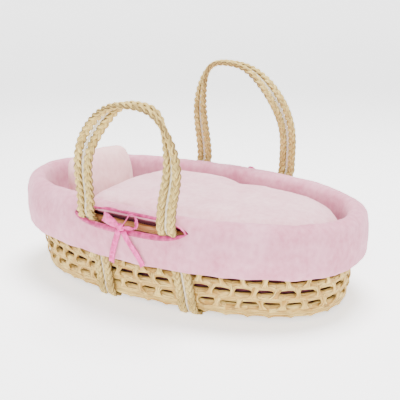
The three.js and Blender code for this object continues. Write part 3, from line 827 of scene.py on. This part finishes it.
under_roll_and_tub = [
    [5.6, 11, 118], [4, 7.5, 121.2], [-2, 0, 122], [-8, -8, 120], [-11.8, -11.8, 113], [-11.9, -11.9, 104],
    [-14, -16, 82], [-16.3, -20.3, 60], [-18.6, -24.6, 38], [-20.8, -28.7, 14], [-24, -32, 12.6],
]
under_roll_and_tub_open = [[5.2, 8.6, 125.4], [3, 5.5, 122.4]] + under_roll_and_tub[2:]

slots = {
    "near": dict(side=-1, centre=2.5 * mm, half_length=80.5 * mm),
    "far": dict(side=1, centre=10 * mm, half_length=100 * mm),
}


def slot_opening(along):
    """How open a slot is at a share of its half length: 1 at its middle and 0 at its end."""
    return (1 - min(abs(along), 1) ** 4) ** 0.7


def openness(x, y):
    """How far a slot is open at a place on the rim: 1 at its middle, 0 past its ends."""
    for place in slots.values():
        along = abs(x - place["centre"]) / place["half_length"]
        if y * place["side"] > 0 and along < 1:
            return slot_opening(along)
    return 0.0


liner_stations = 480
ring_spots, ring_outs, rim_perimeter = oval(rim_half, liner_stations)


def sheet_rows(closed, opened):
    """Rows of points of one stretch of the sheet, all round the basket."""
    closed, opened = through(closed, 4) * mm, through(opened, 4) * mm
    rows = np.empty((len(closed), liner_stations, 3))
    for i, spot in enumerate(ring_spots):
        share = openness(*spot)
        profile = closed + (opened - closed) * share
        end_part = min(abs(spot[0]) / rim_half[0], 1) ** 2
        out = profile[:, 1] + (profile[:, 0] - profile[:, 1]) * end_part
        rows[:, i, :2] = spot + ring_outs[i] * out[:, None]
        rows[:, i, 2] = profile[:, 2]
    return rows


stretches = [
    sheet_rows(inner_and_roll, inner_and_roll_open),
    sheet_rows(skirt_and_hem, skirt_and_hem_open),
    sheet_rows(under_roll_and_tub, under_roll_and_tub_open),
]
rows = np.concatenate(stretches)
upper_lip = len(stretches[0]) - 1
lower_lip = upper_lip + 1
lower_lip_back = lower_lip + len(stretches[1]) - 1
upper_lip_back = lower_lip_back + 1
is_open = [openness(*spot) > 0 for spot in ring_spots]


def at(row, station):
    return row * liner_stations + station % liner_stations


faces = [tuple(at(row, i) for i in range(liner_stations)) for row in (0, len(rows) - 1)]
back_side = [0, 1]  # which of the liner's two materials each face has
for row in range(len(rows) - 1):
    if row not in (upper_lip, lower_lip_back):
        for i in range(liner_stations):
            faces.append((at(row, i), at(row, i + 1), at(row + 1, i + 1), at(row + 1, i)))
            back_side.append(int(row > lower_lip_back))
for i in range(liner_stations):
    if is_open[i] or is_open[(i + 1) % liner_stations]:
        for front, behind in ((upper_lip, upper_lip_back), (lower_lip, lower_lip_back)):
            faces.append((at(front, i), at(front, i + 1), at(behind, i + 1), at(behind, i)))
            back_side.append(0)
liner = new_piece("plush_liner", lifted(rows.reshape(-1, 3)), faces, plush)
# The back of the plush is a plain knit; it shows through the weave. Its dark dusty rose is painted shade, so
# that the gaps in the weave look shaded.
backing, tree, shader = new_material("knitted_plush_backing_painted_shade")
wire(shader, {"Base Color": linear("#7C4550"), "Roughness": 0.95, "Specular IOR Level": 0.1})
liner.data.materials.append(backing)
liner.data.polygons.foreach_set("material_index", back_side)
rumple(liner, [(2.0 * mm, 52 * mm, 1), (0.9 * mm, 18 * mm, 0.9), (0.25 * mm, 6 * mm, 0.8)])
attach(liner, "root")
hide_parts("liner_floor", "liner_wall", "rim_roll", "liner_skirt")


# ---------- slot bindings ----------
# A strip of the same satin folded over the cut edge of each slot and sewn through. It lies in front
# of the handles below, and behind them above.
bias_satin = satin_material("folded_satin_bias_binding", "#961654", "#C4407E")
binding_face = 5.4 * mm
binding_steps = 220
slot_height, lip_above, lip_below = 119.4 * mm, 9.6 * mm, 7.2 * mm  # its middle line, and its lips from it
skirt_past_rim = 8 * mm  # how much further out the skirt's ends are than the rim's
for side_name, place in slots.items():
    side = place["side"]
    rings = []
    for angle in np.arange(binding_steps) * 2 * pi / binding_steps:
        flat = signed_power(cos(angle), 0.8)
        x = place["centre"] + (place["half_length"] - 1 * mm) * flat
        share = slot_opening(flat)
        high = sin(angle) > 0
        z = slot_height + share * (lip_above if high else -lip_below)
        raised = 0.5 + 0.5 * share * (1 if high else -1)
        front = np.interp(raised, (0, 0.25, 0.5, 0.75, 1), (21.0, 19.8, 17.8, 14.0, 11.4)) * mm
        behind = np.interp(raised, (0, 0.5, 1), (18.0, 12.6, 7.6)) * mm
        swing = np.interp(raised, (0, 0.5, 1), (1.4, 0.4, -3.4)) * mm
        face = binding_face * (1.0 if not high else 0.6) * (0.45 + 0.55 * share)
        ease = np.array([cos(angle), sin(angle)]) * np.array([1 - share ** 3, 1])
        way = ease / np.linalg.norm(ease)
        pucker = 0.35 * mm * noise.noise(Vector((x / (3.2 * mm), raised * 3, side * 2.0)))
        section = [
            (1.0, front + swing + 0.3 * mm), (0.6, front + swing * 0.6 + 0.8 * mm + pucker),
            (0.2, front + 0.7 * mm + pucker), (-0.06, front - 0.1 * mm), (-0.14, (front + behind) / 2),
            (-0.12, behind + 0.2 * mm), (0.3, behind - 0.7 * mm), (0.8, behind - 0.3 * mm),
            (0.95, (front + behind) / 2 + swing * 0.5),
        ]
        ring = []
        for reach, out in section:
            px, pz = x + way[0] * reach * face, z + way[1] * reach * face
            edge = oval_side(px, rim_half[0] + skirt_past_rim, rim_half[1])
            ring.append((px, side * (edge + out), pz))
        rings.append(ring)
    points, faces = skin(rings, closed=True)
    binding = new_piece(f"{side_name}_slot_satin_binding", lifted(points), faces, bias_satin)
    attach(binding, "root")
    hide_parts(f"{side_name}_slot_binding")


# ---------- bows ----------
# Each bow is tied in the same ribbon round the rim at the slot: a flat loop towards the head, an
# open loop towards the foot, and a knot.
def bow_loop(name, node_name, side, knot_at, line, width_ways, widths):
    droop = 1.0 if side < 0 else 0.64  # the far bow's loops have sunk
    path = through([(x, side * y, z * droop) for x, y, z in line], 6) * mm
    path += np.array([knot_at.x, 0, knot_at.z])
    ways = through([(x, side * y, z) for x, y, z in width_ways], 6)
    across = through([[w] for w in widths], 6)[:, 0] * mm
    rings = ribbon(path, ways, across, thickness=0.7 * mm, cup=0.5 * mm)
    loop = new_piece(name, *skin(rings), satin)
    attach(loop, "root")
    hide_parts(node_name)


for side_name, side in sides_of.items():
    low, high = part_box(f"{side_name}_bow_knot")
    knot_at = (low + high) / 2
    knot_half = (high - low) / 2
    rings = []
    for i in range(13):
        lean = pi * (i + 0.5) / 13
        ring = []
        for a in np.linspace(0, 2 * pi, 20, endpoint=False):
            fold = 1 + 0.1 * cos(5 * a + 2 * lean) * sin(lean)
            ring.append((
                knot_at.x + knot_half.x * 1.12 * cos(lean),
                knot_at.y + side * knot_half.y * 1.2 * signed_power(sin(lean), 0.7) * cos(a) * fold,
                knot_at.z + knot_half.z * 1.1 * signed_power(sin(lean), 0.7) * sin(a) * fold,
            ))
        rings.append(ring)
    knot = new_piece(f"{side_name}_ribbon_knot", *skin(rings), satin)
    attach(knot, "root")
    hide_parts(f"{side_name}_bow_knot")
    bow_loop(
        f"{side_name}_ribbon_loop_head", f"{side_name}_bow_loop_head", side, knot_at,
        [(-2, 161, 0.5), (-6, 163, 3), (-12, 164.8, 7), (-19.5, 164.4, 10), (-24, 161.5, 10.6),
         (-20, 158.8, 7.6), (-12, 158.2, 3.4), (-5, 159.2, 1), (-2, 160.4, 0)],
        [(0.3, 0.1, 1)] * 9, [3.5, 8, 12, 13.5, 12, 12.5, 10.5, 6, 3.5],
    )
    bow_loop(
        f"{side_name}_ribbon_loop_foot", f"{side_name}_bow_loop_foot", side, knot_at,
        [(2, 161, 1), (6, 161.2, 7), (11, 161, 14), (15, 160.6, 17.4), (20.4, 160.6, 17),
         (23.6, 161, 11.5), (22.2, 161.4, 5), (16, 161.6, 1.6), (8, 161.4, 0.2), (2, 161, -0.6)],
        [(0.3, 1, 0.2), (0.5, 1, 0.2), (0.6, 1, 0.3), (0.5, 1, 0.6), (0.8, 1, 0.6), (1, 0.7, 0.2),
         (1, 0.6, 0), (0.3, 0.8, 0.8), (0, 0.6, 1), (0, 1, 0.5)],
        [3.5, 6.5, 8, 8.4, 8.4, 9, 9, 8, 6, 3.5],
    )


# ---------- padded bedding ----------
# Mattress, quilt and pillow are stuffed covers. Each is made by blowing up a smaller closed shape
# like a cushion. The quilt and the pillow are then flattened where they rest.
def baked(piece):
    """Applies a piece's modifiers to its mesh."""
    graph = bpy.context.evaluated_depsgraph_get()
    mesh = bpy.data.meshes.new_from_object(piece.evaluated_get(graph))
    piece.modifiers.clear()
    piece.data = mesh


def stuffed(piece, voxel, pressure, cap):
    """Remeshes a closed shape and swells it as stuffing does, no point moving further than `cap`."""
    remesh = piece.modifiers.new("even_mesh", "REMESH")
    remesh.mode = "VOXEL"
    remesh.voxel_size = voxel
    baked(piece)
    flat = np.array([vertex.co for vertex in piece.data.vertices])
    cloth = piece.modifiers.new("stuffing", "CLOTH")
    cloth.settings.use_pressure = True
    cloth.settings.uniform_pressure_force = pressure
    cloth.settings.effector_weights.gravity = 0
    for step in range(1, 21):
        bpy.context.scene.frame_set(step)
    graph = bpy.context.evaluated_depsgraph_get()
    swollen = np.array([vertex.co for vertex in piece.evaluated_get(graph).data.vertices])
    piece.modifiers.clear()
    bpy.context.scene.frame_set(1)
    move = swollen - flat
    reach = np.linalg.norm(move, axis=1, keepdims=True)
    move *= np.minimum(1, cap / np.maximum(reach, 1e-9))
    piece.data.vertices.foreach_set("co", (flat + move).astype(np.float32).ravel())
    finer = piece.modifiers.new("finer", "SUBSURF")
    finer.levels = finer.render_levels = 1
    baked(piece)
    piece.data.shade_smooth()


tub_inner = -15.9 * mm  # the liner's inner face, from the wall's outer face


def bed_cover(name, levels, head_edge, material):
    """A closed cover through level outlines, each [inset, height] in mm, inside the tub and no
    further to the head than `head_edge`."""
    rings = []
    for inset, height in np.array(levels) * mm:
        limit = head_edge + inset * 0.4
        spots = oval(wall_half(height) + tub_inner - inset, 132)[0]
        rings.append([(x if x >= limit else limit - 0.14 * (limit - x), y, height) for x, y in spots])
    points, faces = skin(rings)
    return new_piece(name, lifted(points), faces, material)


# Mattress: a foam slab in a plain cotton cover with a welt round its top and bottom edges.
ticking, tree, shader = new_material("plain_woven_cotton")
where = add_node(tree, "ShaderNodeTexCoord", {})
weave = add_node(tree, "ShaderNodeTexNoise", {
    "Vector": where.outputs["Object"], "Scale": 1 / (0.8 * mm), "Detail": 2,
})
colour = add_node(tree, "ShaderNodeMix", {
    0: weave.outputs["Fac"], MIX_A: linear("#E6E0D6"), MIX_B: linear("#F8F4EE"),
}, data_type="RGBA")
relief = add_node(tree, "ShaderNodeBump", {
    "Height": weave.outputs["Fac"], "Strength": 0.4, "Distance": 0.3 * mm,
})
wire(shader, {"Base Color": colour.outputs[MIX_OUT], "Normal": relief.outputs["Normal"], "Roughness": 0.9})
mattress_levels = [(9, 18.5), (7.8, 20.5), (7.5, 24), (9.5, 30), (9.5, 60), (7.5, 67.5), (7.8, 71), (9, 73)]
mattress = bed_cover("cotton_mattress", mattress_levels, -rim_half_length, ticking)
stuffed(mattress, 5 * mm, 2, 1.2 * mm)
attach(mattress, "mattress")
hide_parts("mattress")

# Quilt: thick wadding in a plush cover, tucked in all round, crowned in the middle.
quilt_plush = plush_material("brushed_plush_quilt", "#EBC0C6", "#D99CA8", 1.2)
quilt_levels = [
    (16, 78), (9, 81), (6, 88), (4, 97), (4, 106), (7, 113), (13, 118), (23, 121.5), (40, 124), (62, 125.5),
]
quilt_head_edge = -104 * mm
quilt = bed_cover("plush_quilt", quilt_levels, quilt_head_edge, quilt_plush)
stuffed(quilt, 6 * mm, 4, 6 * mm)
bed_top = 75.2 * mm
for vertex in quilt.data.vertices:
    floor_here = bed_top * (1 - rim_slope * vertex.co.x)
    vertex.co.z = max(vertex.co.z, floor_here)
rumple(quilt, [(2.2 * mm, 60 * mm, 1), (0.9 * mm, 20 * mm, 1), (0.3 * mm, 5 * mm, 1)])
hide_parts("quilt", "quilt_flap")
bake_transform(quilt)

# Pillow: a small stuffed cushion with soft corners, propped at the head end.
pillow_plush = plush_material("brushed_plush_pillow", "#F2CBC8", "#E0A9AB", 1.2)
low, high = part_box("pillow")
middle = (low + high) / 2
pillow_half = Vector((23 * mm, 68 * mm, 46 * mm))
pillow_lean = radians(10)
pillow_squareness = 2.6
rings = []
for level in np.linspace(-1, 1, 11):
    ring = []
    for a in np.linspace(0, 2 * pi, 96, endpoint=False):
        corner = 1 + 0.1 * sin(2 * a) ** 4
        y = pillow_half.y * signed_power(cos(a), 2 / pillow_squareness) * corner
        z = pillow_half.z * signed_power(sin(a), 2 / pillow_squareness) * corner
        spread = (1 - abs(level) ** 2.2) ** 0.35 * 0.5 + 0.5
        ring.append(Vector((level * pillow_half.x * 0.8, y * spread, z * spread)))
    rings.append(ring)
turn = Matrix.Rotation(-pillow_lean, 3, "Y")
rings = [[tuple(turn @ point + middle) for point in ring] for ring in rings]
pillow = new_piece("plush_pillow", *skin(rings), pillow_plush)
stuffed(pillow, 5 * mm, 4, 8 * mm)
rumple(pillow, [(2.0 * mm, 40 * mm, 1), (0.8 * mm, 16 * mm, 1)])
for vertex in pillow.data.vertices:
    vertex.co.z = max(vertex.co.z, low.z)
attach(pillow, "pillow")
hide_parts("pillow")
